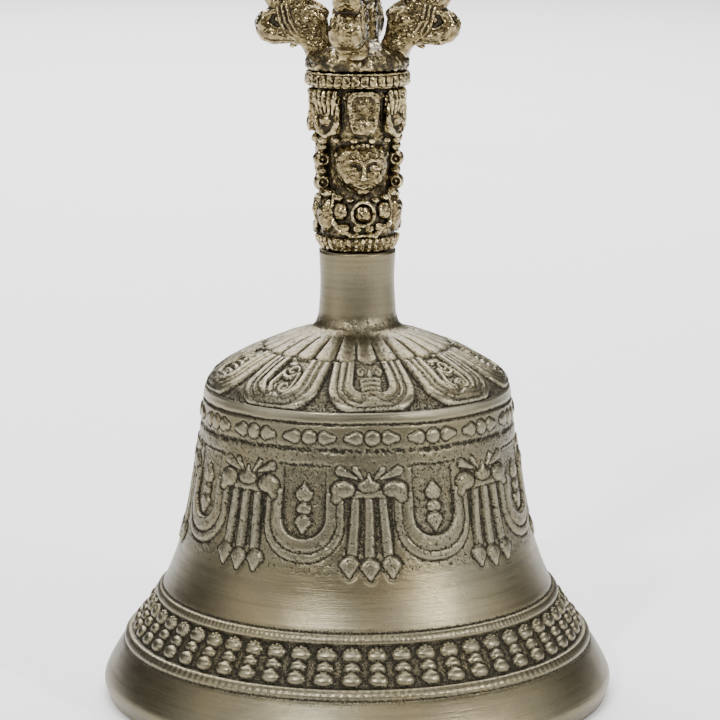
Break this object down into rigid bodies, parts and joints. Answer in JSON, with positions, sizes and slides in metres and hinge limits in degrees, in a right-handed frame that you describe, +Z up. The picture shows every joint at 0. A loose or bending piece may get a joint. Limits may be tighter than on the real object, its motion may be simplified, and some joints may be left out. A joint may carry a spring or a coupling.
{
  "type": "tibetan hand bell",
  "caption": "Hand bell with a flared cast body, a cylindrical neck, a brass handle with a face and a crown, a half vajra on top and a hanging clapper.",
  "frame": {"origin": "centre of the lip's underside, on the bell's axis, where the bell stands", "axes": "+Z up the bell's axis towards the vajra, -Y the way the face looks"},
  "size_m": [0.0948, 0.0948, 0.1625],
  "materials": {
    "bell_metal": "olive grey bell metal, brushed round, dark in the chased recesses",
    "handle_brass": "rough cast brass, bright on the high places and dark in the recesses",
    "lac": "dark hard resin",
    "washer_leather": "dark oiled leather",
    "wire_steel": "dull drawn wire",
    "clapper_iron": "dark forged iron, worn bright where it strikes"
  },
  "bodies": {
    "bell": {"bell_body": "bell_metal", "handle_column": "handle_brass", "vajra_cup": "handle_brass", "central_prong": "handle_brass", "outer_prong_front": "handle_brass", "outer_prong_right": "handle_brass", "outer_prong_back": "handle_brass", "outer_prong_left": "handle_brass", "neck_filling": "lac", "crown_washer": "washer_leather", "clapper_staple": "wire_steel"},
    "link": {"clapper_link": "wire_steel"},
    "clapper": {"clapper_rod": "clapper_iron", "clapper_bob": "clapper_iron"}
  },
  "joints": [
    {"name": "link_swing", "type": "hinge", "parent": "bell", "child": "link", "pos_m": [0, 0, 0.057], "axis": [1, 0, 0], "range_deg": [-12, 12]},
    {"name": "clapper_swing", "type": "hinge", "parent": "link", "child": "clapper", "pos_m": [0, 0, 0.0498], "axis": [0, 1, 0], "range_deg": [-38, 38]}
  ]
}
